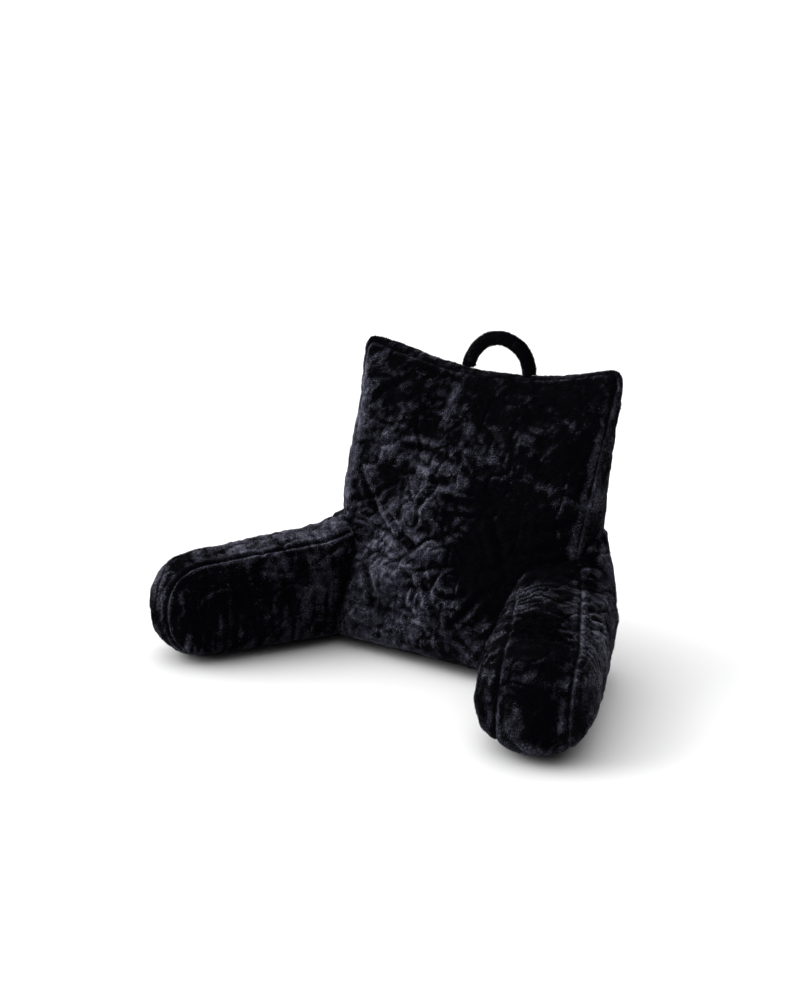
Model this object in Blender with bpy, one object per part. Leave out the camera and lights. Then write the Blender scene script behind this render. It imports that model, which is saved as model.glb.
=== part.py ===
"""Reading pillow with arms: a back cushion, two splayed arms and a stuffed carry loop."""
import math

import bmesh
import bpy
import numpy as np

# ---- Back cushion: half widths, seam positions and depths, in metres ----
# Each trio runs bottom edge, mid height, top edge.
BODY_HALF_WIDTH = (0.230, 0.226, 0.2465)
BACK_HALF_WIDTH = (0.200, 0.210, 0.238)
FRONT_SEAM_Y = (-0.0807, 0.0073, 0.0796)
SIDE_DEPTH = (0.180, 0.090, 0.020)
LEFT_SEAM_INSET = 0.007
LEFT_INSET_REACH = 1.3
EAR_HEIGHT = 0.486
TOP_EDGE_DIP = 0.041
TOP_MIDDLE_DEPTH = 0.020
SEAM_FLOOR_HEIGHT = 0.0165
FRONT_CROWN = (0.0575, 0.0425)
BACK_CROWN = 0.030
BACK_TOP_DROP = 0.004
BODY_BULGE = 0.013
LEFT_EXTRA_BULGE = 0.024
BULGE_FADE_HEIGHT = 0.40
BULGE_FADE_START = 1.2
BULGE_TOP_SHARE = 0.25
FLOOR_EXTRA_BULGE = 0.020
BODY_CORNER_POWER = 16.0
BODY_CORNER_FADE = 6

# ---- Arms ----
ARM_SPLAY_DEG = {"left": 29.6, "right": 23.2}
ARM_ROOT = {"left": (-0.174, 0.063), "right": (0.1785, 0.048)}
ARM_LENGTH = {"left": 0.407, "right": 0.397}
# How far the outer side runs past the middle at the front end, and the inner side short of it.
ARM_END_SKEW = {"left": -0.008, "right": 0.011}
ARM_FOOT_SHIFT = {"left": 0.0, "right": 0.007}
ARM_ROOT_EXTRA = 0.055
ARM_ROOT_TAPER_START = 0.045
ARM_ROOT_SIDE_CROWN = 0.008
ARM_ROOT_CROWN_HEIGHT = 0.100
ARM_ROOT_CROWN_SPAN = 0.080
ARM_END_ZONE = 0.085
ARM_STRIP_WIDTH = 0.1044
ARM_SIDE_CROWN = 0.0367
ARM_CROWN_LOW_FRONT_LOSS = 0.55
ARM_STRIP_CROWN = 0.0165
ARM_END_HEIGHT = 0.154
ARM_ROOT_HEIGHT = 0.258
ARM_INNER_EXTRA_HEIGHT = 0.0115
ARM_SEAM_FLOOR_HEIGHT = 0.010
ARM_RISE_SPAN = 0.48
ARM_LINEAR_SHARE = 0.25
ARM_CORNER_POWER = 2.4
ARM_CORNER_FADE = 3
ARM_AXIS_HEIGHT = 0.075
ARM_ROUND_REACH = 0.090

# ---- Carry loop ----
LOOP_MIDDLE_X = 0.005
LOOP_HALF_SPAN = 0.058
LOOP_RISE = 0.058
LOOP_RADIUS = 0.013
LOOP_FOOT_DEPTH = 0.030
LOOP_SIDES = 14
LOOP_SEGMENTS = 26

# ---- Mesh fineness ----
BODY_STEPS = 30
BODY_BAND_ROWS = 5
ARM_STEPS_LONG = 20
ARM_STEPS_HIGH = 12
ARM_BAND_ROWS = 4
CLEARANCE = 0.0005

# ---- Folds of the filled front panel, in panel coordinates from -1 to 1 ----
# columns: start_u, start_v, end_u, end_v, depth_m, half_width_m
PANEL_FOLDS = (
    (-0.22, 1.00, -0.30, 0.62, 0.016, 0.020),
    (-0.30, 0.62, -0.36, 0.26, 0.009, 0.024),
    (-0.72, 0.36, -0.36, 0.20, 0.008, 0.022),
    (-0.78, 0.06, -0.48, -0.30, 0.008, 0.024),
    (0.26, 0.34, 0.84, 0.24, 0.005, 0.026),
)

# ---- Colours ----
PLUSH_COLOUR = (0.016, 0.016, 0.022, 1.0)
PLUSH_DARK_COLOUR = (0.013, 0.013, 0.018, 1.0)
PLUSH_ROUGHNESS = 0.92


def clear_scene():
    """Remove every object of the start-up scene."""
    for obj in list(bpy.data.objects):
        bpy.data.objects.remove(obj, do_unlink=True)


def material(name, colour):
    """A matt dyed plush."""
    mat = bpy.data.materials.new(name)
    mat.use_nodes = True
    shader = mat.node_tree.nodes["Principled BSDF"]
    shader.inputs["Base Color"].default_value = colour
    shader.inputs["Roughness"].default_value = PLUSH_ROUGHNESS
    shader.inputs["Metallic"].default_value = 0.0
    mat.diffuse_color = colour
    return mat


def through_three(v, trio):
    """Quadratic through a bottom, a middle and a top value for v in -1..1."""
    bottom, middle, top = trio
    return bottom * v * (v - 1) / 2 + middle * (1 - v * v) + top * v * (v + 1) / 2


def round_corners(u, v, power, fade, right_only=False):
    """Pull the corners of the square panel grid onto a rounded outline."""
    reach = np.maximum(abs(u), abs(v))
    norm = (abs(u) ** power + abs(v) ** power) ** (1 / power)
    ratio = np.divide(reach, norm, out=np.ones_like(reach), where=norm > 0)
    pull = 1 - (1 - ratio) * reach ** fade
    if right_only:
        pull = np.where(u > 0, pull, 1.0)
    return u * pull, v * pull


def panel_grid(steps_u, steps_v):
    """Square grid of panel coordinates, with its pillow-shaped crown."""
    line_u = np.linspace(-1, 1, steps_u + 1)
    line_v = np.linspace(-1, 1, steps_v + 1)
    u, v = np.meshgrid(line_u, line_v, indexing="ij")
    crown = np.sqrt((1 - u * u) * (1 - v * v))
    return u, v, crown


def crease_depth(x, z, folds, half_width, height):
    """Depth of the rounded valleys whose middle lines are given in panel coordinates."""
    depth = np.zeros_like(x)
    for start_u, start_v, end_u, end_v, deep, half in folds:
        ax, az = start_u * half_width, (start_v + 1) / 2 * height
        bx, bz = end_u * half_width, (end_v + 1) / 2 * height
        run_x, run_z = bx - ax, bz - az
        share = ((x - ax) * run_x + (z - az) * run_z) / (run_x ** 2 + run_z ** 2)
        share = np.clip(share, 0, 1)
        gap = np.hypot(x - ax - share * run_x, z - az - share * run_z)
        depth += deep * np.exp(-(gap / half) ** 2)
    return depth


def body_panels():
    """Front and back panel of the back cushion as two grids of points."""
    u, v, crown = panel_grid(BODY_STEPS, BODY_STEPS)
    flat_u, flat_v = round_corners(u, v, BODY_CORNER_POWER, BODY_CORNER_FADE)
    share = (flat_v + 1) / 2
    top = EAR_HEIGHT - TOP_EDGE_DIP * (1 - flat_u ** 2)
    z = SEAM_FLOOR_HEIGHT + (top - SEAM_FLOOR_HEIGHT) * share
    seam_y = through_three(flat_v, FRONT_SEAM_Y)
    x_front = through_three(flat_v, BODY_HALF_WIDTH) * flat_u
    inset = LEFT_SEAM_INSET * np.clip(LEFT_INSET_REACH - share, 0, 1)
    x_front = x_front + inset * np.clip(-flat_u, 0, 1)
    crown_depth = FRONT_CROWN[0] + (FRONT_CROWN[1] - FRONT_CROWN[0]) * share
    folds = crease_depth(x_front, z, PANEL_FOLDS, BODY_HALF_WIDTH[1], EAR_HEIGHT)
    y_front = seam_y - crown_depth * crown + folds * np.minimum(1, 2 * crown)
    depth = through_three(flat_v, SIDE_DEPTH)
    upper = np.clip(2 * share - 1, 0, 1)
    depth = depth + TOP_MIDDLE_DEPTH * upper * (1 - flat_u ** 2)
    x_back = through_three(flat_v, BACK_HALF_WIDTH) * flat_u
    y_back = seam_y + depth + BACK_CROWN * crown
    front = np.stack([x_front, y_front, z], -1)
    back = np.stack([x_back, y_back, z - BACK_TOP_DROP * share], -1)
    return front, back


def edge_ring(grid):
    """The border points of a grid, in order round the panel."""
    parts = [grid[:-1, 0], grid[-1, :-1], grid[:0:-1, -1], grid[0, :0:-1]]
    return np.concatenate(parts)


def band_between(front, back, rows):
    """Straight rows of points from one seam to the other."""
    share = np.linspace(0, 1, rows + 1)[:, None, None]
    return edge_ring(front)[None] * (1 - share) + edge_ring(back)[None] * share


def body_band(front, back):
    """Side gusset: bulged outward, most at the thick lower sides, flat on the floor."""
    rows = band_between(front, back, BODY_BAND_ROWS)
    share = np.linspace(0, 1, BODY_BAND_ROWS + 1)[:, None, None]
    centre = rows.mean((0, 1))
    outward = rows - centre
    outward[..., 1] = 0
    outward /= np.linalg.norm(outward, axis=-1, keepdims=True)
    fade = np.clip(BULGE_FADE_START - rows[..., 2:3] / BULGE_FADE_HEIGHT, BULGE_TOP_SHARE, 1)
    bulge = BODY_BULGE * fade
    bulge = bulge + LEFT_EXTRA_BULGE * np.clip(-outward[..., 0:1], 0, 1) ** 2
    bulge = bulge + FLOOR_EXTRA_BULGE * np.clip(-outward[..., 2:3], 0, 1) ** 2
    rows = rows + outward * bulge * np.sin(np.pi * share)
    rows[..., 2] = np.maximum(rows[..., 2], 0)
    return rows


def arm_frame(side):
    """Root point, forward direction and sideways direction of one arm."""
    sign = -1.0 if side == "left" else 1.0
    angle = math.radians(ARM_SPLAY_DEG[side])
    along = np.array([sign * math.sin(angle), -math.cos(angle), 0.0])
    across = np.array([sign * math.cos(angle), math.sin(angle), 0.0])
    root = np.array([*ARM_ROOT[side], 0.0])
    return root, along, across


def arm_height(share):
    """Height of the arm, rising towards the back cushion."""
    rise = np.clip(1 - share / ARM_RISE_SPAN, 0, 1) ** 2 + ARM_LINEAR_SHARE * (1 - share)
    rise = rise / (1 + ARM_LINEAR_SHARE)
    return ARM_END_HEIGHT + (ARM_ROOT_HEIGHT - ARM_END_HEIGHT) * rise


def arm_panels(side):
    """Inner and outer side panel of one arm as two grids of points."""
    root, along, across = arm_frame(side)
    u, v, crown = panel_grid(ARM_STEPS_LONG, ARM_STEPS_HIGH)
    flat_u, flat_v = round_corners(u, v, ARM_CORNER_POWER, ARM_CORNER_FADE, right_only=True)
    straight = ARM_LENGTH[side] - ARM_END_ZONE
    rear = straight * (1 + flat_u) + ARM_ROOT_EXTRA * flat_u
    distance = np.where(flat_u < 0, rear, straight + ARM_END_ZONE * flat_u)
    share = np.clip(distance / straight, 0, 1)
    up = (flat_v + 1) / 2
    span = ARM_ROOT_TAPER_START + ARM_ROOT_EXTRA
    behind = np.clip((ARM_ROOT_TAPER_START - distance) / span, 0, 1)
    taper = np.sqrt(1 - behind ** 2)
    low_front = np.clip(flat_u, 0, 1) * np.clip(-flat_v, 0, 1)
    panels = []
    for way in (-1, 1):
        height = arm_height(share)
        half = ARM_STRIP_WIDTH / 2 + ARM_SIDE_CROWN * crown
        if way > 0:
            tall = height * up - ARM_ROOT_CROWN_HEIGHT
            swell = np.exp(-(tall / ARM_ROOT_CROWN_SPAN) ** 2 - (distance / ARM_ROOT_CROWN_SPAN) ** 2)
            half = half - ARM_SIDE_CROWN * crown * ARM_CROWN_LOW_FRONT_LOSS * low_front
            half = (half + ARM_ROOT_SIDE_CROWN * swell) * taper
        else:
            height = height + ARM_INNER_EXTRA_HEIGHT * (1 - (1 - share) ** 3)
        offset = way * half - ARM_FOOT_SHIFT[side] * share * (1 - up)
        forward = distance + way * ARM_END_SKEW[side] * share
        grid = root + forward[..., None] * along + offset[..., None] * across
        grid[..., 2] = ARM_SEAM_FLOOR_HEIGHT + (height - ARM_SEAM_FLOOR_HEIGHT) * up
        panels.append(grid)
    return panels


def arm_band(inner, outer, side):
    """Boxing strip over the top, round the front end and under the arm."""
    root, along, _ = arm_frame(side)
    rows = band_between(inner, outer, ARM_BAND_ROWS)
    share = np.linspace(0, 1, ARM_BAND_ROWS + 1)[:, None, None]
    distance = (rows - root) @ along
    past_end = np.clip(distance - (ARM_LENGTH[side] - ARM_ROUND_REACH), 0, None)
    above = rows[..., 2] - ARM_AXIS_HEIGHT
    span = np.hypot(past_end, above) + 1e-9
    push = ARM_STRIP_CROWN * np.sin(np.pi * share)
    rows = rows + along * (past_end / span)[..., None] * push
    lift = np.array([0.0, 0.0, 1.0]) * (above / span)[..., None]
    rows = rows + lift * push
    rows[..., 2] = np.maximum(rows[..., 2], 0)
    return rows


def grid_faces(index, flip):
    """Quads over a grid of vertex numbers."""
    corners = [index[:-1, :-1], index[1:, :-1], index[1:, 1:], index[:-1, 1:]]
    quads = np.stack(corners, -1).reshape(-1, 4)
    return quads[:, ::-1] if flip else quads


def cushion_object(name, first, second, rows):
    """One closed filled solid from two panels and the band sewn between them."""
    size = first.shape[0] * first.shape[1]
    first_index = np.arange(size).reshape(first.shape[:2])
    second_index = first_index + size
    ring_length = rows.shape[1]
    inner_rows = rows[1:-1]
    inner_index = 2 * size + np.arange(inner_rows.shape[0] * ring_length)
    inner_index = inner_index.reshape(-1, ring_length)
    band_index = np.concatenate(
        [edge_ring(first_index)[None], inner_index, edge_ring(second_index)[None]])
    band_index = np.concatenate([band_index, band_index[:, :1]], 1)
    points = np.concatenate(
        [first.reshape(-1, 3), second.reshape(-1, 3), inner_rows.reshape(-1, 3)])
    faces = np.concatenate([
        grid_faces(first_index, False),
        grid_faces(second_index, True),
        grid_faces(band_index, False),
    ])
    return mesh_object(name, points, faces)


def mesh_object(name, points, faces):
    """Mesh object of triangles with outward normals and smooth shading."""
    mesh = bpy.data.meshes.new(name)
    mesh.from_pydata(points.tolist(), [], faces.tolist())
    bm = bmesh.new()
    bm.from_mesh(mesh)
    bmesh.ops.triangulate(bm, faces=bm.faces)
    bmesh.ops.recalc_face_normals(bm, faces=bm.faces)
    for face in bm.faces:
        face.smooth = True
    bm.to_mesh(mesh)
    bm.free()
    obj = bpy.data.objects.new(name, mesh)
    bpy.context.scene.collection.objects.link(obj)
    return obj


def clearance_cutter(source, name):
    """A hidden copy of a solid, grown by the clearance, used to trim its neighbours."""
    mesh = source.data.copy()
    normals = np.empty(len(mesh.vertices) * 3)
    points = np.empty(len(mesh.vertices) * 3)
    mesh.vertices.foreach_get("normal", normals)
    mesh.vertices.foreach_get("co", points)
    mesh.vertices.foreach_set("co", points + CLEARANCE * normals)
    cutter = bpy.data.objects.new(name, mesh)
    cutter.hide_render = True
    cutter.display_type = "WIRE"
    bpy.context.scene.collection.objects.link(cutter)
    return cutter


def trim(obj, cutter):
    """Cut the cutter's shape away from a solid."""
    cut = obj.modifiers.new("trim", "BOOLEAN")
    cut.operation = "DIFFERENCE"
    cut.solver = "EXACT"
    cut.object = cutter


def build_body():
    front, back = body_panels()
    rows = body_band(front, back)
    return cushion_object("back_cushion", front, back, rows)


def build_arm(side):
    inner, outer = arm_panels(side)
    rows = arm_band(inner, outer, side)
    return cushion_object("arm_" + side, inner, outer, rows)


def loop_path():
    """Middle line of the carry loop, from inside one foot to inside the other."""
    base_z = EAR_HEIGHT - TOP_EDGE_DIP
    middle_y = FRONT_SEAM_Y[2] + (SIDE_DEPTH[2] + TOP_MIDDLE_DEPTH) / 2
    angle = np.linspace(0, math.pi, LOOP_SEGMENTS + 1)
    x = LOOP_MIDDLE_X - LOOP_HALF_SPAN * np.cos(angle)
    z = base_z + LOOP_RISE * np.sin(angle)
    arch = np.stack([x, np.full_like(x, middle_y), z], -1)
    left_foot = arch[:1] - [0, 0, LOOP_FOOT_DEPTH]
    right_foot = arch[-1:] - [0, 0, LOOP_FOOT_DEPTH]
    return np.concatenate([left_foot, arch, right_foot])


def build_loop():
    path = loop_path()
    tangent = np.gradient(path, axis=0)
    tangent /= np.linalg.norm(tangent, axis=1, keepdims=True)
    sideways = np.array([0.0, 1.0, 0.0])
    normal = np.cross(tangent, sideways)
    turn = np.linspace(0, 2 * math.pi, LOOP_SIDES, endpoint=False)
    ring = np.cos(turn)[None, :, None] * normal[:, None, :]
    ring = ring + np.sin(turn)[None, :, None] * sideways
    points = path[:, None, :] + LOOP_RADIUS * ring
    count = len(path)
    index = np.arange(count * LOOP_SIDES).reshape(count, LOOP_SIDES)
    index = np.concatenate([index, index[:, :1]], 1)
    faces = grid_faces(index, False).tolist()
    faces.append(index[0, :-1].tolist())
    faces.append(index[-1, -2::-1].tolist())
    return mesh_object("carry_loop", points.reshape(-1, 3), np.array(faces, dtype=object))


def main():
    clear_scene()
    plush = material("plush", PLUSH_COLOUR)
    plush_loop = material("plush_loop", PLUSH_DARK_COLOUR)
    body = build_body()
    cutter = clearance_cutter(body, "body_clearance")
    trimmed = [build_arm("left"), build_arm("right"), build_loop()]
    for obj in trimmed:
        trim(obj, cutter)
    for obj in [body] + trimmed[:2]:
        obj.data.materials.append(plush)
    trimmed[2].data.materials.append(plush_loop)


main()
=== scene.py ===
"""Looks of the reading pillow: fine filled forms, seams, folds and crushed plush pile, with painted
sheen and painted shade in the tones of its pile.
"""
import math

import bpy
import numpy as np
from mathutils import Matrix, Vector
from mathutils.kdtree import KDTree


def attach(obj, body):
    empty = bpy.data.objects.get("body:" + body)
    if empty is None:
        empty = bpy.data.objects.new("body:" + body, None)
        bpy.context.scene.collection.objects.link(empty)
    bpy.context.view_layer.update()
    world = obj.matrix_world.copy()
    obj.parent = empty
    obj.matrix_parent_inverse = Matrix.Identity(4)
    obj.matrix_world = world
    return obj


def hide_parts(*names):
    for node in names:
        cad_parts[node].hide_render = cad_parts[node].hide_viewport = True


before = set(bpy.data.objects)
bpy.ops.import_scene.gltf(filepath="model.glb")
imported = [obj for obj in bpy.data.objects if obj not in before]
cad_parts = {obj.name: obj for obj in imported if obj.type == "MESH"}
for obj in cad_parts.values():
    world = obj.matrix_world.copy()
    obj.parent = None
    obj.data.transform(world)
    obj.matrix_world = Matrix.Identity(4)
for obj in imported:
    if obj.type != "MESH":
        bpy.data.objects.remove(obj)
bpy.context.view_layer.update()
SCENE = bpy.context.scene

# ---- Camera, in degrees, metres and shares of the image's width ----
CAMERA_AZIMUTH = 35.78
CAMERA_ELEVATION = 15.80
CAMERA_FOCAL_SHARE = 2.3246
CAMERA_DISTANCE = 3.0157
CAMERA_AIM_RIGHT = -0.0941
CAMERA_AIM_UP = 0.2476
SENSOR_MM = 36.0

# ---- Sizes repeated from the CAD, in metres; trios run bottom edge, mid height, top edge ----
BODY_HALF_WIDTH = (0.230, 0.226, 0.2465)
BACK_HALF_WIDTH = (0.200, 0.210, 0.238)
FRONT_SEAM_Y = (-0.0807, 0.0073, 0.0796)
SIDE_DEPTH = (0.180, 0.090, 0.020)
LEFT_SEAM_INSET = 0.007
LEFT_INSET_REACH = 1.3
EAR_HEIGHT = 0.486
TOP_EDGE_DIP = 0.041
TOP_MIDDLE_DEPTH = 0.020
SEAM_FLOOR_HEIGHT = 0.0165
BACK_TOP_DROP = 0.004
BODY_CORNER = (16.0, 6)
ARM_SPLAY_DEG = {"left": 29.6, "right": 23.2}
ARM_ROOT = {"left": (-0.174, 0.063), "right": (0.1785, 0.048)}
ARM_LENGTH = {"left": 0.407, "right": 0.397}
ARM_END_SKEW = {"left": -0.008, "right": 0.011}
ARM_FOOT_SHIFT = {"left": 0.0, "right": 0.007}
ARM_ROOT_EXTRA = 0.055
ARM_END_ZONE = 0.085
ARM_STRIP_WIDTH = 0.1044
ARM_END_HEIGHT = 0.154
ARM_ROOT_HEIGHT = 0.258
ARM_INNER_EXTRA_HEIGHT = 0.0115
ARM_SEAM_FLOOR_HEIGHT = 0.010
ARM_RISE_SPAN = 0.48
ARM_LINEAR_SHARE = 0.25
ARM_CORNER = (2.4, 3)

# How far outwards an arm's stitched lines lie from the CAD's panel edges: at the front end, and
# what comes on top of that at the root.
ARM_STITCH_SHIFT = {"left": (0.0, 0.0), "right": (0.0075, -0.050)}

# ---- Fineness and pile ----
# Cell size of each remeshed form, and how far it is drawn in to make room for its pile
VOXEL = {"back_cushion": 0.0060, "arm_left": 0.0057, "arm_right": 0.0057, "carry_loop": 0.0030}
SINK = {"back_cushion": 0.0012, "arm_left": 0.0018, "arm_right": 0.0018, "carry_loop": 0.0015}
# Blades of pile for each piece; the back cushion has its front and its back apart.
BLADES = {
    "back_cushion": (168000, 128000),
    "arm_left": (138000,),
    "arm_right": (148000,),
    "carry_loop": (8000,),
}
PILE_LENGTH = 0.0050
PILE_WIDTH = 0.00108
PILE_ROOT_DEPTH = 0.0005
PILE_TIP_OVER_FLOOR = 0.0004
BARE_BELOW_HEIGHT = 0.003
PILE_CRUSHED_LEAN_DEG = 10.0
PILE_ERECT_LEAN_DEG = 66.0
PILE_LEAN_SPREAD_DEG = 6.0
PILE_LIE_SPREAD = 0.30
PILE_ROLL_SPREAD = 0.22
PILE_HANGS = np.array([0.0, 0.0, -0.4])
# Painted light comes from this way: blades brushed towards it, and sides of folds turned towards it, get
# a painted highlight, and those turned away painted shade.
PAINTED_LIGHT_FROM = np.array([-0.70, -0.20, 0.68])
# Noise that turns the lie of the pile, and that presses it in patches; columns: amount, scale
SWIRL_LAYERS = ((1.0, 0.060), (0.6, 0.026), (0.12, 0.0080))
PATCH_LAYERS = ((0.24, 0.048), (0.16, 0.020), (0.12, 0.0085))

# ---- How flat the pile lies, which also sets its painted sheen: near 0 it stands up and is painted dark, near 1 it is flat and painted pale ----
BODY_PRESSED_AND_SHEEN_BASE = 0.08
# Patches on the front panel: a painted sheen at its lower left, which faces the light, and painted shade
# on its right
# columns: amount, middle_u, middle_v, spread_u, spread_v, in panel coordinates
BODY_PRESSED_AND_SHEEN_PATCHES = (
    (0.88, -0.50, -0.50, 0.40, 0.42),
    (0.10, -0.55, 0.55, 0.20, 0.25),
    (-0.72, 0.64, -0.18, 0.22, 0.22),
    (0.22, 0.15, 0.50, 0.16, 0.10),
)
BODY_PRESSED_AND_SHEEN_REAR = 0.30
# Sides seen at a slant get a painted sheen: palest on those that face left, towards the light, less on
# those that face right
BODY_PRESSED_AND_SHEEN_LEFT = 1.15
BODY_PRESSED_AND_SHEEN_RIGHT = 0.40
# Each arm's pressing also sets its painted sheen: the left arm's top painted pale, the right arm's top
# painted dark, a painted shade
# columns: top, top beside the folds, inner side, front end
ARM_PRESSED_AND_SHEEN = {"left": (0.80, 0.80, 0.22, 0.28), "right": (-0.32, 0.16, 0.50, 0.32)}
# Outer sides of the arms, seen at a slant, get a painted sheen
ARM_PRESSED_AND_SHEEN_OUTER = 0.72
LOOP_PRESSED_AND_SHEEN = -0.05

# ---- Tones of the plush, lit and shaded copies of one black plush: the paler tones are painted sheen, the darker ones painted shade; columns: name, base colour, roughness, specular level, sheen ----
TONES = (
    ("dark", (0.0022, 0.0021, 0.0034), 0.50, 0.08, 0.02),
    ("dim", (0.0075, 0.0072, 0.0125), 0.48, 0.22, 0.04),
    ("low", (0.0150, 0.0145, 0.0230), 0.45, 0.35, 0.08),
    ("mid", (0.0300, 0.0295, 0.0420), 0.42, 0.55, 0.12),
    ("light", (0.0580, 0.0580, 0.0780), 0.40, 0.80, 0.20),
    ("pale", (0.1250, 0.1260, 0.1620), 0.38, 1.00, 0.30),
)
# Levels of pressing and painted sheen at which one tone gives way to the next, and how far the cloth
# below lags
TONE_STOPS = (0.18, 0.38, 0.60, 0.88, 1.22)
GROUND_LAG = 0.20
GROUND_ROUGHNESS = 0.85
GROUND_SPECULAR = 0.04
SPECULAR_TINT = (0.80, 0.81, 1.0, 1)
SHEEN_TINT = (0.72, 0.76, 1.0, 1)

# ---- Light ----
SUN_FROM = (-0.78, -0.46, 0.42)
SUN_STRENGTH = 1.65
SUN_ANGLE_DEG = 58.0
SOFTBOX_FROM = (-0.45, 0.05, 0.89)
SOFTBOX_STRENGTH = 1.85
ROOM_STRENGTH = 0.10
FLOOR_HALF_WIDTH = 250.0
FLOOR_WHITE = (0.93, 0.93, 0.93, 1)
VIEW_GAMMA = 0.85

# ---- Seams, folds and strokes ----
SEAM_GROOVE_DEPTH = 0.0024
SEAM_GROOVE_WIDTH = 0.0030
SEAM_LIP_HEIGHT = 0.0012
SEAM_LIP_AWAY = 0.008
SEAM_LIP_WIDTH = 0.005
GATHER_HEIGHT = 0.0014
GATHER_REACH = 0.017
# Noise along a seam and over the filled forms; columns: amount, scale
GATHER_LAYERS = ((1.0, 0.011), (0.6, 0.006))
BODY_BROAD_LAYERS = ((0.0032, 0.085), (0.0018, 0.040))
ARM_BROAD_LAYERS = ((0.0024, 0.060), (0.0012, 0.028))
# Where the folds pressed across each arm are deepest, and how far they reach, from its root
ARM_FOLD_PLACE = {"left": (0.03, 0.09), "right": (0.19, 0.10)}
ARM_FOLD_PITCH = 0.0205
ARM_FOLD_HEIGHT = 0.0052
# Directions of the strokes on the back cushion, from +X towards +Z, and the size of a stroke
BODY_STREAK_DEG = (-41.0, -5.0, 50.0)
BODY_STREAK_WIDTH = 0.0075
ARM_STREAK_WIDTH = 0.0072
STREAK_STRETCH = 5.0

# ---- Sag of the filled outline past the CAD solids ----
BODY_LEFT_SAG = 0.009
BODY_RIGHT_EAR_RISE = 0.003
LOOP_LEANS_RIGHT = 0.0050
ARM_TIP_REACH = {"left": 0.004, "right": 0.007}

# ---- Creases of the front panel; u and v run from -1 to 1, left to right and bottom to top ----
# columns: start_u, start_v, mid_u, mid_v, end_u, end_v, depth_m, half_width_m
PANEL_CREASES = (
    (-0.06, 0.99, -0.18, 0.80, -0.03, 0.50, 0.0010, 0.0120),
    (-0.60, 0.92, -0.30, 0.92, -0.14, 0.80, 0.0040, 0.0070),
    (-0.88, 0.62, -0.78, 0.80, -0.52, 0.86, 0.0030, 0.0060),
    (-0.55, 0.39, -0.25, 0.42, 0.04, 0.36, 0.0058, 0.0060),
    (-0.42, 0.25, -0.18, 0.18, 0.04, 0.26, 0.0055, 0.0058),
    (-0.12, 0.17, 0.06, 0.09, 0.26, 0.15, 0.0030, 0.0055),
    (-0.86, 0.22, -0.74, 0.00, -0.45, -0.16, 0.0045, 0.0048),
    (-0.66, 0.10, -0.46, -0.08, -0.17, -0.24, 0.0048, 0.0046),
    (-0.13, -0.30, 0.00, -0.50, 0.16, -0.70, 0.0048, 0.0060),
    (-0.03, -0.38, 0.15, -0.56, 0.30, -0.40, 0.0042, 0.0050),
    (0.17, -0.70, 0.30, -0.54, 0.46, -0.36, 0.0036, 0.0055),
    (-0.33, -0.32, -0.16, -0.42, -0.04, -0.54, 0.0038, 0.0050),
    (0.34, 0.08, 0.46, -0.06, 0.52, -0.22, 0.0050, 0.0070),
    (-0.67, -0.38, -0.50, -0.46, -0.48, -0.68, 0.0036, 0.0055),
    (-0.90, -0.20, -0.84, -0.42, -0.74, -0.60, 0.0036, 0.0060),
    (0.60, 0.03, 0.78, 0.04, 0.97, 0.10, 0.0030, 0.0060),
    (0.55, -0.12, 0.74, -0.10, 0.96, -0.02, 0.0026, 0.0055),
)


# ---------------------------------------------------------------- noise
class Noise:
    """Smooth lattice noise in three dimensions, in -1..1, with several channels."""

    def __init__(self, seed, channels=1, size=24):
        self.size = size
        self.table = np.random.default_rng(seed).uniform(-1, 1, (size, size, size, channels))

    def __call__(self, points, scale):
        p = points / scale
        base = np.floor(p).astype(int)
        t = p - base
        t = t * t * t * (t * (t * 6 - 15) + 10)
        out = 0
        for i in (0, 1):
            for j in (0, 1):
                for k in (0, 1):
                    weight = np.where(i, t[:, 0], 1 - t[:, 0])
                    weight = weight * np.where(j, t[:, 1], 1 - t[:, 1])
                    weight = weight * np.where(k, t[:, 2], 1 - t[:, 2])
                    corner = (base + (i, j, k)) % self.size
                    value = self.table[corner[:, 0], corner[:, 1], corner[:, 2]]
                    out = out + weight[:, None] * value
        return out


def layers(points, seed, rows, channels=1):
    """Noise summed over rows of amount and scale, each row with the next seed."""
    out = 0
    for n, (amount, scale) in enumerate(rows):
        out = out + amount * Noise(seed + n, channels)(points, scale)
    return out


def bell(distance, width):
    """1 at no distance, falling smoothly to 0 past the width."""
    return np.exp(-(distance / width) ** 2)


def veins(points, scale, seed, warp=0.45):
    """Thin winding lines, 1 on a line and falling to 0 beside it."""
    bent = points + warp * scale * Noise(seed, 3)(points, 1.7 * scale)
    value = np.abs(Noise(seed + 1)(bent, scale)[:, 0])
    return np.clip(1 - 4.2 * value, 0, 1) ** 1.5


def streaks(points, ways, stretch, scale, seed):
    """Long thin strokes in -1..1 that run along a few directions, each in its own patches."""
    share = np.clip(Noise(seed, len(ways))(points, 0.060) + 0.35, 0.02, 1) ** 2
    share /= np.sqrt((share ** 2).sum(1, keepdims=True))
    out = 0
    for n, way in enumerate(ways):
        along = (points @ way.T) @ way
        drawn = points - along * (1 - 1 / stretch)
        out = out + share[:, n] * Noise(seed + 1 + n)(drawn, scale)[:, 0]
    return out


# ---------------------------------------------------------------- CAD shapes again
def through_three(v, trio):
    """The curve through three values at v = -1, 0 and 1."""
    bottom, middle, top = trio
    return bottom * v * (v - 1) / 2 + middle * (1 - v * v) + top * v * (v + 1) / 2


def round_corners(u, v, power, fade, right_only=False):
    """Pull the corners of a square panel in to a rounded outline."""
    reach = np.maximum(abs(u), abs(v))
    norm = (abs(u) ** power + abs(v) ** power) ** (1 / power)
    pull = 1 - (1 - reach / norm) * reach ** fade
    if right_only:
        pull = np.where(u > 0, pull, 1.0)
    return u * pull, v * pull


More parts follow.
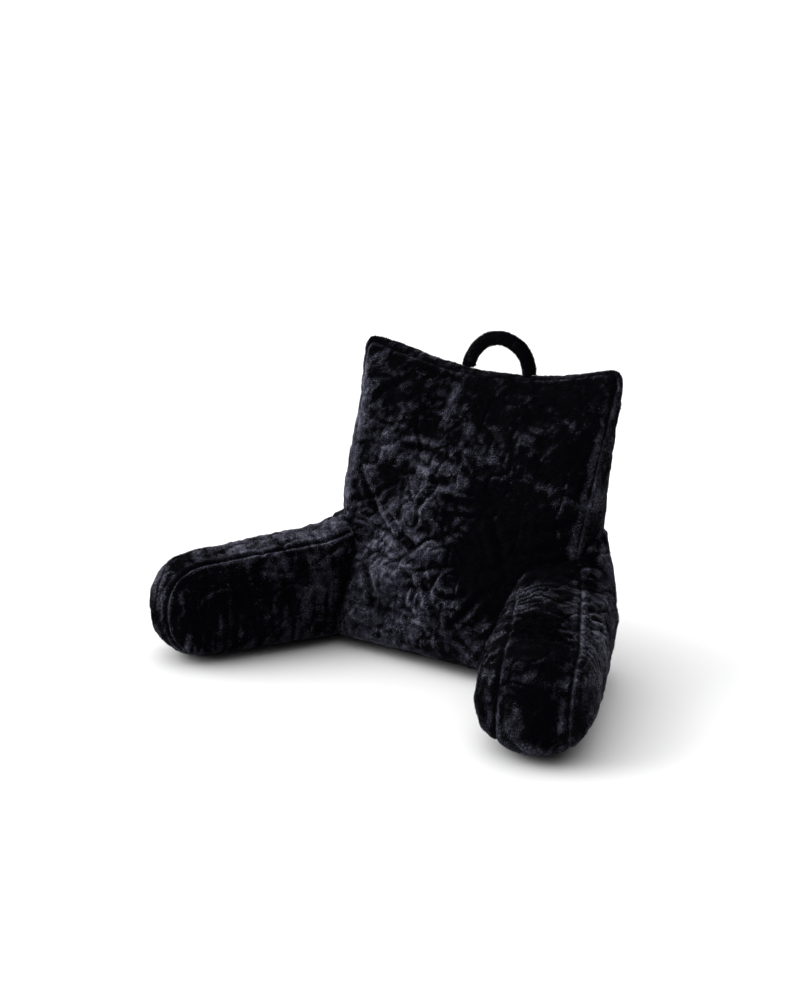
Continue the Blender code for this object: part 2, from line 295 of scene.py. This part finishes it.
def panel_border(count=160):
    """Panel coordinates once round the edge of a square panel."""
    line = np.linspace(-1, 1, count, endpoint=False)
    full = np.ones(count)
    u = np.concatenate([line, full, -line, -full])
    v = np.concatenate([-full, line, full, -line])
    return u, v


def body_seams():
    """The seams round the front and the back panel of the back cushion."""
    u, v = round_corners(*panel_border(), *BODY_CORNER)
    share = (v + 1) / 2
    z = SEAM_FLOOR_HEIGHT + (EAR_HEIGHT - TOP_EDGE_DIP * (1 - u * u) - SEAM_FLOOR_HEIGHT) * share
    y = through_three(v, FRONT_SEAM_Y)
    x = through_three(v, BODY_HALF_WIDTH) * u
    x = x + LEFT_SEAM_INSET * np.clip(-u, 0, 1) * np.clip(LEFT_INSET_REACH - share, 0, 1)
    depth = through_three(v, SIDE_DEPTH) + TOP_MIDDLE_DEPTH * np.clip(2 * share - 1, 0, 1) * (1 - u * u)
    back_x = through_three(v, BACK_HALF_WIDTH) * u
    back_z = z - BACK_TOP_DROP * share
    return [np.stack([x, y, z], 1), np.stack([back_x, y + depth, back_z], 1)]


def arm_frame(side):
    """The root of an arm on the floor, the way it runs and the way out to its side."""
    sign = -1.0 if side == "left" else 1.0
    angle = math.radians(ARM_SPLAY_DEG[side])
    along = np.array([sign * math.sin(angle), -math.cos(angle), 0.0])
    across = np.array([sign * math.cos(angle), math.sin(angle), 0.0])
    return np.array([*ARM_ROOT[side], 0.0]), along, across


def arm_height(share):
    """Height of an arm's top, from its root (0) to its front end (1)."""
    rise = np.clip(1 - share / ARM_RISE_SPAN, 0, 1) ** 2 + ARM_LINEAR_SHARE * (1 - share)
    return ARM_END_HEIGHT + (ARM_ROOT_HEIGHT - ARM_END_HEIGHT) * rise / (1 + ARM_LINEAR_SHARE)


def arm_seams(side):
    """The seams round the inner and the outer side panel of one arm."""
    root, along, across = arm_frame(side)
    u, v = round_corners(*panel_border(), *ARM_CORNER, right_only=True)
    straight = ARM_LENGTH[side] - ARM_END_ZONE
    rear = straight * (1 + u) + ARM_ROOT_EXTRA * u
    distance = np.where(u < 0, rear, straight + ARM_END_ZONE * u)
    share = np.clip(distance / straight, 0, 1)
    up = (v + 1) / 2
    at_end, to_root = ARM_STITCH_SHIFT[side]
    seams = []
    for way in (-1, 1):
        height = arm_height(share)
        if way < 0:
            height = height + ARM_INNER_EXTRA_HEIGHT * (1 - (1 - share) ** 3)
        offset = way * ARM_STRIP_WIDTH / 2 - ARM_FOOT_SHIFT[side] * share * (1 - up)
        offset = offset + at_end + to_root * (1 - share)
        forward = distance + way * ARM_END_SKEW[side] * share
        line = root + forward[:, None] * along + offset[:, None] * across
        line[:, 2] = ARM_SEAM_FLOOR_HEIGHT + (height - ARM_SEAM_FLOOR_HEIGHT) * up
        seams.append(line)
    return seams


# ---------------------------------------------------------------- mesh helpers
def mesh_arrays(mesh):
    """Points and normals of a mesh, one row each."""
    points = np.empty(len(mesh.vertices) * 3, np.float32)
    mesh.vertices.foreach_get("co", points)
    normals = np.empty(len(mesh.vertices) * 3, np.float32)
    mesh.vertices.foreach_get("normal", normals)
    return points.reshape(-1, 3).astype(float), normals.reshape(-1, 3).astype(float)


def set_points(mesh, points):
    mesh.vertices.foreach_set("co", points.astype(np.float32).ravel())
    mesh.update()


def apply_modifiers(obj):
    """Put the evaluated shape in place of the object's own mesh."""
    graph = bpy.context.evaluated_depsgraph_get()
    fine = bpy.data.meshes.new_from_object(obj.evaluated_get(graph))
    old = obj.data
    obj.modifiers.clear()
    obj.data = fine
    bpy.data.meshes.remove(old)


def filled_form(node, name):
    """A fine, smooth copy of a filled CAD solid."""
    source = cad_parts[node]
    mesh = source.data.copy()
    mesh.materials.clear()
    obj = bpy.data.objects.new(name, mesh)
    SCENE.collection.objects.link(obj)
    obj.matrix_world = source.matrix_world.copy()
    remesh = obj.modifiers.new("remesh", "REMESH")
    remesh.mode = "VOXEL"
    remesh.voxel_size = VOXEL[node]
    soft = obj.modifiers.new("soft", "SMOOTH")
    soft.factor = 0.5
    soft.iterations = 4
    finer = obj.modifiers.new("finer", "SUBSURF")
    finer.levels = 1
    finer.render_levels = 1
    bpy.context.view_layer.update()
    apply_modifiers(obj)
    obj.data.polygons.foreach_set("use_smooth", np.ones(len(obj.data.polygons), bool))
    return obj


# ---------------------------------------------------------------- folds and seams
def seam_distance(obj, points, seams):
    """For each point, the distance to the nearest seam on the surface and the place along it."""
    line = np.concatenate(seams)
    line = np.array([obj.closest_point_on_mesh(Vector(spot))[1] for spot in line])
    place = np.concatenate([
        10.0 * n + np.cumsum(np.linalg.norm(np.diff(seam, axis=0, prepend=seam[-1:]), axis=1))
        for n, seam in enumerate(seams)])
    tree = KDTree(len(line))
    for number, spot in enumerate(line):
        tree.insert(spot, number)
    tree.balance()
    found = [tree.find(spot)[1:] for spot in points]
    number = np.array([item[0] for item in found])
    return np.array([item[1] for item in found]), place[number]


def seam_relief(gap, place, seed):
    """A drawn-in groove with gathers on both sides of the stitching."""
    spots = np.stack([place, np.zeros_like(place), np.zeros_like(place)], 1)
    gather = layers(spots, seed, GATHER_LAYERS)[:, 0]
    groove = -SEAM_GROOVE_DEPTH * bell(gap, SEAM_GROOVE_WIDTH)
    lip = SEAM_LIP_HEIGHT * bell(gap - SEAM_LIP_AWAY, SEAM_LIP_WIDTH)
    gather = GATHER_HEIGHT * gather * np.exp(-gap / GATHER_REACH)
    return groove + lip + gather * (1 - bell(gap, SEAM_GROOVE_WIDTH))


def crease_relief(x, z):
    """Narrow valleys with raised lips, from the crease table."""
    out = np.zeros_like(x)
    for su, sv, mu, mv, eu, ev, deep, half in PANEL_CREASES:
        stops = np.array([(su, sv), (mu, mv), (eu, ev)])
        t = np.linspace(0, 1, 9)[:, None]
        curve = (1 - t) ** 2 * stops[0] + 2 * t * (1 - t) * stops[1] + t * t * stops[2]
        line_x = curve[:, 0] * BODY_HALF_WIDTH[1]
        line_z = (curve[:, 1] + 1) / 2 * (EAR_HEIGHT - TOP_EDGE_DIP / 2)
        gap = np.full_like(x, 9.0)
        run = np.zeros_like(x)
        for n in range(len(t) - 1):
            ax, az = line_x[n], line_z[n]
            bx, bz = line_x[n + 1] - ax, line_z[n + 1] - az
            share = np.clip(((x - ax) * bx + (z - az) * bz) / (bx * bx + bz * bz), 0, 1)
            here = np.hypot(x - ax - share * bx, z - az - share * bz)
            closer = here < gap
            gap = np.where(closer, here, gap)
            run = np.where(closer, (n + share) / (len(t) - 1), run)
        fade = np.clip(4 * run * (1 - run), 0, 1) ** 0.6
        valley = -np.exp(-(gap / half) ** 1.4)
        lips = 0.45 * bell(gap - 2.0 * half, 0.9 * half)
        out += deep * fade * (valley + lips)
    return out


def body_streaks(points):
    """Strokes left in the pile of the back cushion by hands and folds."""
    turn = np.radians(BODY_STREAK_DEG)
    ways = [np.array([[math.cos(t), 0.0, math.sin(t)]]) for t in turn]
    return streaks(points, ways, STREAK_STRETCH, BODY_STREAK_WIDTH, 21)


def arm_streaks(side):
    """Strokes that run round the arm rather than along it."""
    _, _, across = arm_frame(side)

    def drawn(points):
        ways = [np.array([across, (0.0, 0.0, 1.0)])]
        return streaks(points, ways, STREAK_STRETCH, ARM_STREAK_WIDTH, 27)

    return drawn


def loop_streaks(points):
    """Small patches in the pile of the loop."""
    return Noise(29)(points, 0.008)[:, 0]


def body_relief(points, normals):
    """Crushed, filled front panel; calmer sides and back."""
    x, z = points[:, 0], points[:, 2]
    front = np.clip(-normals[:, 1] * 2 - 0.4, 0, 1)
    u, v = x / BODY_HALF_WIDTH[1], 2 * z / EAR_HEIGHT - 1
    crushed = 0.55 + 0.75 * np.exp(-(u + 0.35) ** 2 / 0.35 - (v + 0.35) ** 2 / 0.5)
    broad = layers(points, 31, BODY_BROAD_LAYERS)[:, 0]
    valleys = -0.0034 * veins(points, 0.036, 41) - 0.0016 * veins(points, 0.019, 43)
    ridges = 0.0015 * veins(points, 0.030, 45) + 0.0011 * body_streaks(points)
    calm = np.where(front > 0, 0.55 + 0.45 * front, 0.55)
    small = 0.0012 * Noise(47)(points, 0.0125)[:, 0] - 0.0014 * veins(points, 0.0130, 48, 0.6)
    return broad + (valleys + ridges + small) * crushed * calm + front * crease_relief(x, z)


def arm_relief(points, side):
    """Folds pressed across the arm near the back cushion, calmer towards the front end."""
    root, along, across = arm_frame(side)
    distance = (points - root) @ along
    sideways = (points - root) @ across
    upward = np.clip(points[:, 2] / 0.10, 0, 1)
    bent = distance + 0.010 * Noise(51)(points, 0.06)[:, 0] + 0.35 * sideways ** 2 / ARM_STRIP_WIDTH
    phase = bent / ARM_FOLD_PITCH + 0.35 * Noise(52)(points, 0.03)[:, 0]
    wave = np.abs(np.sin(np.pi * phase)) ** 0.8 - 0.6
    patchy = np.clip(0.65 + 0.8 * Noise(53)(points, 0.035)[:, 0], 0, 1.2)
    middle, reach = ARM_FOLD_PLACE[side]
    fade = bell(distance - middle, reach) + 0.18
    folds = ARM_FOLD_HEIGHT * wave * fade * patchy * (0.35 + 0.65 * upward)
    broad = layers(points, 54, ARM_BROAD_LAYERS)[:, 0]
    valleys = -0.0022 * veins(points, 0.032, 56) + 0.0012 * veins(points, 0.024, 58)
    small = 0.0009 * Noise(60)(points, 0.0125)[:, 0]
    return folds + broad + valleys + small + 0.0012 * arm_streaks(side)(points)


def settle(node, points):
    """Small shifts of the soft outline, in metres, that give each filled part its own sag."""
    out = points.copy()
    if node == "back_cushion":
        u, v = points[:, 0] / BODY_HALF_WIDTH[1], 2 * points[:, 2] / EAR_HEIGHT - 1
        out[:, 0] -= BODY_LEFT_SAG * bell(v + 0.05, 0.40) * np.clip(-u, 0, 1) ** 4
        out[:, 2] += BODY_RIGHT_EAR_RISE * np.clip(u, 0, 1) * np.clip((points[:, 2] - 0.38) / 0.06, 0, 1)
    elif node == "carry_loop":
        out[:, 0] += LOOP_LEANS_RIGHT * np.clip((points[:, 2] - 0.44) / 0.05, 0, 1)
    else:
        side = node[4:]
        root, along, _ = arm_frame(side)
        tip = np.clip(((points - root) @ along - 0.32) / 0.06, 0, 1)
        low = bell(points[:, 2], 0.070) if side == "right" else 1.0
        out += along * (tip * low * ARM_TIP_REACH[side])[:, None]
    return out


def loop_relief(points):
    """Small puckers of the stuffed sleeve."""
    return 0.0007 * Noise(61)(points, 0.016)[:, 0] - 0.0008 * veins(points, 0.016, 62)


# ---------------------------------------------------------------- materials
def plush_material(name, colour, rough, specular, sheen=0.0):
    """One tone of the plush, paler for painted sheen and darker for painted shade, with bluish
    highlights.
    """
    mat = bpy.data.materials.new(name)
    mat.use_nodes = True
    shader = mat.node_tree.nodes["Principled BSDF"]
    shader.inputs["Base Color"].default_value = (*colour, 1)
    shader.inputs["Roughness"].default_value = rough
    shader.inputs["Specular IOR Level"].default_value = specular
    shader.inputs["Specular Tint"].default_value = SPECULAR_TINT
    shader.inputs["Sheen Weight"].default_value = sheen
    shader.inputs["Sheen Roughness"].default_value = 0.35
    shader.inputs["Sheen Tint"].default_value = SHEEN_TINT
    return mat


FIBRES = [plush_material("plush_fibre_" + tone[0], *tone[1:]) for tone in TONES]
GROUNDS = [
    plush_material("plush_ground_" + tone[0], tone[1], GROUND_ROUGHNESS, GROUND_SPECULAR)
    for tone in TONES]


# ---------------------------------------------------------------- pile
def pile_level(spots, normal, near, high, turn_to_painted_light, seed, crushed, strokes):
    """How far the pile is pressed flat, which also sets its painted sheen: most on crests, beside seams,
    and on the upper left sides of folds, which get a painted highlight as they turn towards the light,
    with painted shade on their other sides.
    """
    level = crushed(spots, normal) + layers(spots, seed + 4, PATCH_LAYERS)[:, 0] + 0.32 * strokes(spots)
    # Crests paler; sides of folds turned towards the light get a painted highlight, those turned away
    # painted shade
    level = level + np.clip(high / 0.0110, -0.35, 0.35) + 1.5 * np.clip(turn_to_painted_light, -0.45, 0.45)
    return level + 0.30 * bell(near - 0.0035, 0.0022)


def tone_of(value):
    """Number of the tone, from dark (painted shade) to pale (painted sheen), for a level of pressing."""
    return sum((value > stop).astype(np.int32) for stop in TONE_STOPS)


def tint_ground(base, level):
    """Give each face of the cloth under the pile the tone of the pile above it, painted sheen and
    painted shade included.
    """
    mesh = base.data
    corners = np.empty(len(mesh.loops), np.int32)
    mesh.loops.foreach_get("vertex_index", corners)
    starts = np.empty(len(mesh.polygons), np.int32)
    mesh.polygons.foreach_get("loop_start", starts)
    for material in GROUNDS:
        mesh.materials.append(material)
    mesh.polygons.foreach_set("material_index", tone_of(level[corners[starts]] - GROUND_LAG))
    mesh.update()


def pick_places(base, count, draw, keep):
    """Corners of the triangles that carry each blade, and each blade's share of those corners.

    Blades are spread evenly by area, and keep weighs each triangle.
    """
    mesh = base.data
    mesh.calc_loop_triangles()
    triangles = np.empty(len(mesh.loop_triangles) * 3, np.int32)
    mesh.loop_triangles.foreach_get("vertices", triangles)
    triangles = triangles.reshape(-1, 3)
    points, normals = mesh_arrays(mesh)
    corners = points[triangles]
    area = np.linalg.norm(np.cross(corners[:, 1] - corners[:, 0], corners[:, 2] - corners[:, 0]), axis=1)
    area = area * keep(corners.mean(1), normals[triangles].mean(1))
    area[corners[:, :, 2].max(1) < BARE_BELOW_HEIGHT] = 0
    pick = draw.choice(len(triangles), count, p=area / area.sum())
    a, b = draw.random(count), draw.random(count)
    swap = a + b > 1
    a[swap], b[swap] = 1 - a[swap], 1 - b[swap]
    return triangles[pick], np.stack([1 - a - b, a, b], 1)


def lie_of_pile(root, normal, seed, draw):
    """The way each blade is brushed, along the cloth."""
    swirl = layers(root, seed + 1, SWIRL_LAYERS, 3)
    lie = swirl * 1.2 + PILE_HANGS + draw.normal(0, PILE_LIE_SPREAD, root.shape)
    lie -= normal * (lie * normal).sum(1, keepdims=True)
    return lie / (np.linalg.norm(lie, axis=1, keepdims=True) + 1e-9)


def blade_corners(root, normal, lie, flat, near, draw):
    """Two corners at each blade's foot and one at its tip; flat is 0 upright and 1 crushed."""
    count = len(root)
    lean = PILE_ERECT_LEAN_DEG + (PILE_CRUSHED_LEAN_DEG - PILE_ERECT_LEAN_DEG) * flat
    lean = np.radians(np.clip(draw.normal(lean, PILE_LEAN_SPREAD_DEG), 2, 80))
    along = np.cos(lean)[:, None] * lie + np.sin(lean)[:, None] * normal
    side = np.cross(normal, lie)
    roll = draw.normal(0, PILE_ROLL_SPREAD, count)[:, None]
    across = side * np.cos(roll) + np.cross(along, side) * np.sin(roll)
    shorter = (1 - 0.5 * bell(near, 0.005)) * (0.62 + 0.38 * flat)
    size = (PILE_LENGTH * draw.uniform(0.5, 1.1, count) * shorter)[:, None]
    half = (PILE_WIDTH * draw.uniform(0.6, 1.2, count) / 2)[:, None]
    start = root - normal * PILE_ROOT_DEPTH
    tip = start + along * size
    tip[:, 2] = np.maximum(tip[:, 2], PILE_TIP_OVER_FLOOR)
    return np.stack([start - across * half, start + across * half, tip], 1).reshape(-1, 3)


def blade_tones(root, lie, flat, pressed, seed, draw):
    """Number of each blade's tone: fine lines, painted glints on single blades and a painted highlight
    on blades brushed towards the light shift it.
    """
    line = veins(root, 0.017, seed + 20, 0.6) - 0.7 * veins(root, 0.023, seed + 23, 0.6)
    fine = 0.22 * Noise(seed + 8)(root, 0.0040)[:, 0] + 0.30 * line * (0.4 + flat)
    cluster = np.clip(Noise(seed + 9)(root, 0.030)[:, 0] + 0.1, 0, 1) * (0.25 + flat)
    # Painted glints: a few single blades set much paler
    painted_glint = 0.9 * (draw.random(len(root)) < 0.22 * cluster)
    # Painted highlight on blades brushed towards the light, painted shade on those brushed away
    brushed = 0.18 * (lie @ PAINTED_LIGHT_FROM)
    return tone_of(pressed + fine + painted_glint + brushed + draw.normal(0, 0.15, len(root)))


def blade_object(name, corners, tones):
    """All the blades as one mesh, a triangle each."""
    count = len(tones)
    mesh = bpy.data.meshes.new(name)
    mesh.vertices.add(count * 3)
    mesh.vertices.foreach_set("co", corners.astype(np.float32).ravel())
    mesh.loops.add(count * 3)
    mesh.loops.foreach_set("vertex_index", np.arange(count * 3, dtype=np.int32))
    mesh.polygons.add(count)
    mesh.polygons.foreach_set("loop_start", np.arange(0, count * 3, 3, dtype=np.int32))
    for material in FIBRES:
        mesh.materials.append(material)
    mesh.polygons.foreach_set("material_index", tones)
    mesh.update(calc_edges=True)
    obj = bpy.data.objects.new(name, mesh)
    SCENE.collection.objects.link(obj)
    return obj


def pile(base, name, count, seed, keep, gap, level):
    """Short fibres on a cloth as one joined mesh: crushed in patches and painted pale there, a painted
    sheen, upright and painted darker between.

    gap is each vertex's distance to a seam and level how far the pile is pressed flat there, which also
    sets its painted sheen.
    """
    draw = np.random.default_rng(seed)
    corners, share = pick_places(base, count, draw, keep)
    points, normals = mesh_arrays(base.data)
    root = (points[corners] * share[..., None]).sum(1)
    normal = (normals[corners] * share[..., None]).sum(1)
    normal /= np.linalg.norm(normal, axis=1, keepdims=True)
    near = (gap[corners] * share).sum(1)
    # How far each blade is pressed flat, which also sets its painted sheen
    pressed = (level[corners] * share).sum(1)
    lie = lie_of_pile(root, normal, seed, draw)
    flat = np.clip((pressed - 0.05) / 0.70 + draw.normal(0, 0.07, count), 0, 1)
    blades = blade_corners(root, normal, lie, flat, near, draw)
    return blade_object(name, blades, blade_tones(root, lie, flat, pressed, seed, draw))


# ---------------------------------------------------------------- camera, light and stage
def place_camera():
    """The camera looks down a little on the pillow, from its front right."""
    a, e = math.radians(CAMERA_AZIMUTH), math.radians(CAMERA_ELEVATION)
    right = Vector((math.cos(a), math.sin(a), 0))
    look = Vector((-math.sin(a) * math.cos(e), math.cos(a) * math.cos(e), -math.sin(e)))
    up = right.cross(look)
    place = -look * CAMERA_DISTANCE + right * CAMERA_AIM_RIGHT + up * CAMERA_AIM_UP
    data = bpy.data.cameras.new("camera")
    data.sensor_fit = "HORIZONTAL"
    data.sensor_width = SENSOR_MM
    data.lens = CAMERA_FOCAL_SHARE * SENSOR_MM
    data.clip_start = 0.05
    data.clip_end = 1000
    camera = bpy.data.objects.new("camera", data)
    camera.matrix_world = Matrix((
        (right.x, up.x, -look.x, place.x),
        (right.y, up.y, -look.y, place.y),
        (right.z, up.z, -look.z, place.z),
        (0, 0, 0, 1)))
    SCENE.collection.objects.link(camera)
    SCENE.camera = camera


def make_sun():
    """A very wide key light from the left and front."""
    data = bpy.data.lights.new("key", "SUN")
    data.energy = SUN_STRENGTH
    data.angle = math.radians(SUN_ANGLE_DEG)
    lamp = bpy.data.objects.new("key", data)
    lamp.rotation_euler = Vector(SUN_FROM).to_track_quat("Z", "Y").to_euler()
    SCENE.collection.objects.link(lamp)


def make_world():
    """A dark room with one very wide soft light, so that the floor is lit evenly."""
    world = bpy.data.worlds.new("studio")
    world.use_nodes = True
    nodes, links = world.node_tree.nodes, world.node_tree.links
    place = nodes.new("ShaderNodeTexCoord")
    toward = nodes.new("ShaderNodeVectorMath")
    toward.operation = "DOT_PRODUCT"
    toward.inputs[1].default_value = Vector(SOFTBOX_FROM).normalized()
    lobe = nodes.new("ShaderNodeMapRange")
    lobe.inputs["From Min"].default_value = 0.05
    lobe.inputs["From Max"].default_value = 1.0
    lobe.inputs["To Min"].default_value = ROOM_STRENGTH
    lobe.inputs["To Max"].default_value = ROOM_STRENGTH + SOFTBOX_STRENGTH
    links.new(place.outputs["Generated"], toward.inputs[0])
    links.new(toward.outputs["Value"], lobe.inputs["Value"])
    links.new(lobe.outputs["Result"], nodes["Background"].inputs["Strength"])
    nodes["Background"].inputs["Color"].default_value = (1, 1, 1, 1)
    SCENE.world = world


def make_stage():
    """A wide white floor."""
    mesh = bpy.data.meshes.new("floor")
    half = FLOOR_HALF_WIDTH
    corners = [(-half, -half, 0), (half, -half, 0), (half, half, 0), (-half, half, 0)]
    mesh.from_pydata(corners, [], [(0, 1, 2, 3)])
    floor = bpy.data.objects.new("floor", mesh)
    SCENE.collection.objects.link(floor)
    mat = bpy.data.materials.new("floor_white")
    mat.use_nodes = True
    shader = mat.node_tree.nodes["Principled BSDF"]
    shader.inputs["Base Color"].default_value = FLOOR_WHITE
    shader.inputs["Roughness"].default_value = 0.9
    shader.inputs["Specular IOR Level"].default_value = 0.0
    mesh.materials.append(mat)


# ---------------------------------------------------------------- pieces
def everywhere(places, normals):
    return np.ones(len(places))


def facing_front(places, normals):
    return (normals[:, 1] < 0.1) * 1.0


def facing_back(places, normals):
    return (normals[:, 1] >= 0.1) * 1.0


def body_pressed_and_sheen(root, normal):
    """How flat the pile of the back cushion lies, with the painted sheen that goes with it: most at the
    lower left of the front and on sides that face left, towards the light, with painted shade on the
    right.
    """
    u, v = root[:, 0] / BODY_HALF_WIDTH[1], 2 * root[:, 2] / EAR_HEIGHT - 1
    front = BODY_PRESSED_AND_SHEEN_BASE
    for amount, middle_u, middle_v, spread_u, spread_v in BODY_PRESSED_AND_SHEEN_PATCHES:
        front = front + amount * np.exp(-(u - middle_u) ** 2 / spread_u - (v - middle_v) ** 2 / spread_v)
    leftward = np.clip(-2 * normal[:, 0] - 0.2, 0, 1)
    rightward = np.clip(2 * normal[:, 0] - 0.3, 0, 1)
    out = np.where(normal[:, 1] < 0.1, front, BODY_PRESSED_AND_SHEEN_REAR)
    return out + (BODY_PRESSED_AND_SHEEN_LEFT - out) * leftward + (BODY_PRESSED_AND_SHEEN_RIGHT - out) * rightward


def arm_pressed_and_sheen(side):
    """How flat the pile of one arm lies, on its top, its sides and its front end, with the painted sheen
    that goes with it.
    """
    root_point, along, across = arm_frame(side)
    plain, folded, inner, end = ARM_PRESSED_AND_SHEEN[side]

    # Pressing and painted sheen at each spot: outer sides painted pale, as seen at a slant
    def pressed(root, normal):
        distance = (root - root_point) @ along
        outward = normal @ across
        top = plain + (folded - plain) * bell(distance - 0.20, 0.060)
        out = top + (inner - top) * np.clip(-2 * outward - 0.3, 0, 1)
        out = out + (ARM_PRESSED_AND_SHEEN_OUTER - out) * np.clip(2 * outward - 0.3, 0, 1)
        return out + (end - out) * np.clip((distance - 0.30) / 0.08, 0, 1)

    return pressed


# Pressing and painted sheen of the loop's pile, the same all over
def loop_pressed_and_sheen(root, normal):
    return np.full(len(root), LOOP_PRESSED_AND_SHEEN)


def body_surface(base, points, normals):
    """Relief of the back cushion, and each point's distance to its nearest seam."""
    gap, place = seam_distance(base, points, body_seams())
    return body_relief(points, normals) * (1 - bell(gap, 0.012)) + seam_relief(gap, place, 70), gap


def arm_surface(side, seam_seed):
    """The same for an arm."""
    def surface(base, points, normals):
        gap, place = seam_distance(base, points, arm_seams(side))
        relief = arm_relief(points, side) * (1 - 0.6 * bell(gap, 0.008))
        return relief + seam_relief(gap, place, seam_seed), gap

    return surface


def loop_surface(base, points, normals):
    """The same for the loop, which shows no seam, so that every point is a metre from one."""
    return loop_relief(points), np.full(len(points), 1.0)


# columns: relief and seams, how flat the pile lies with its painted sheen, strokes in the pile
PARTS = {
    "back_cushion": (body_surface, body_pressed_and_sheen, body_streaks),
    "arm_left": (arm_surface("left", 81), arm_pressed_and_sheen("left"), arm_streaks("left")),
    "arm_right": (arm_surface("right", 82), arm_pressed_and_sheen("right"), arm_streaks("right")),
    "carry_loop": (loop_surface, loop_pressed_and_sheen, loop_streaks),
}


def make_cloth(node, name, seed):
    """The cloth of one filled piece, with its vertices' distances to a seam and levels of pressing,
    which also set its painted sheen.
    """
    surface, pressed, strokes = PARTS[node]
    base = filled_form(node, name)
    set_points(base.data, settle(node, mesh_arrays(base.data)[0]))
    points, normals = mesh_arrays(base.data)
    relief, gap = surface(base, points, normals)
    raised = np.clip(points[:, 2] / 0.03, 0.15, 1)
    points = points + normals * (relief * raised - SINK[node])[:, None]
    points[:, 2] = np.maximum(points[:, 2], 0.0)
    set_points(base.data, points)
    # How far the relief turns each normal towards the painted light: a painted highlight on the sides of
    # folds that face it, painted shade on the others
    turn_to_painted_light = (mesh_arrays(base.data)[1] - normals) @ PAINTED_LIGHT_FROM
    level = pile_level(points, normals, gap, relief, turn_to_painted_light, seed, pressed, strokes)
    tint_ground(base, level)
    return base, gap, level


def make_furs(node, name, seed, base, gap, level):
    """The pile on one cloth, in one mesh or, on the back cushion, in two."""
    areas = (facing_front, facing_back) if node == "back_cushion" else (everywhere,)
    furs = []
    for part, (count, keep) in enumerate(zip(BLADES[node], areas)):
        label = name + "_pile" + ("_" + "ab"[part] if len(areas) > 1 else "")
        furs.append(pile(base, label, count, seed + 50 * part, keep, gap, level))
    return furs


place_camera()
make_world()
make_stage()
make_sun()
SCENE.view_settings.view_transform = "Standard"
SCENE.view_settings.look = "None"
SCENE.view_settings.gamma = VIEW_GAMMA

triangles_added = 0
for number, node in enumerate(PARTS):
    name = node + "_plush"
    seed = 100 + 10 * number
    base, gap, level = make_cloth(node, name, seed)
    for piece in [base] + make_furs(node, name, seed, base, gap, level):
        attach(piece, "root")
        triangles_added += len(piece.data.loop_triangles) or len(piece.data.polygons)
    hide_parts(node)
    print("piece", name, len(base.data.polygons), "quads", flush=True)
print("triangles", triangles_added, flush=True)
